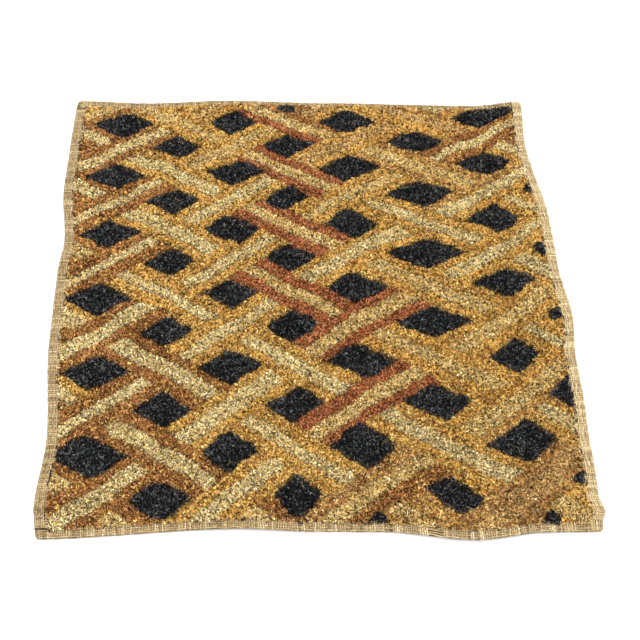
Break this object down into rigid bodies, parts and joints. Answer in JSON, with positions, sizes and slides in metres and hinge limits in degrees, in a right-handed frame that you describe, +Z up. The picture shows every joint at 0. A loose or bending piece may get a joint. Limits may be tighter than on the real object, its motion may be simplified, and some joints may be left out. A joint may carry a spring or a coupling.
{
  "type": "cut-pile raffia cloth",
  "caption": "Square woven raffia cloth with a cut-pile face and a turned hem on every side, lying flat with its pile up.",
  "frame": {"origin": "under the middle of the cloth's box, on the surface that it lies on", "axes": "+X across the cloth to the right, +Y from its front edge to its back edge, +Z up out of the pile"},
  "size_m": [0.6042, 0.5848, 0.0058],
  "materials": {
    "raffia": "matt cut raffia pile over plain-woven raffia"
  },
  "bodies": {
    "root": {"raffia_cloth": "raffia"}
  },
  "joints": []
}
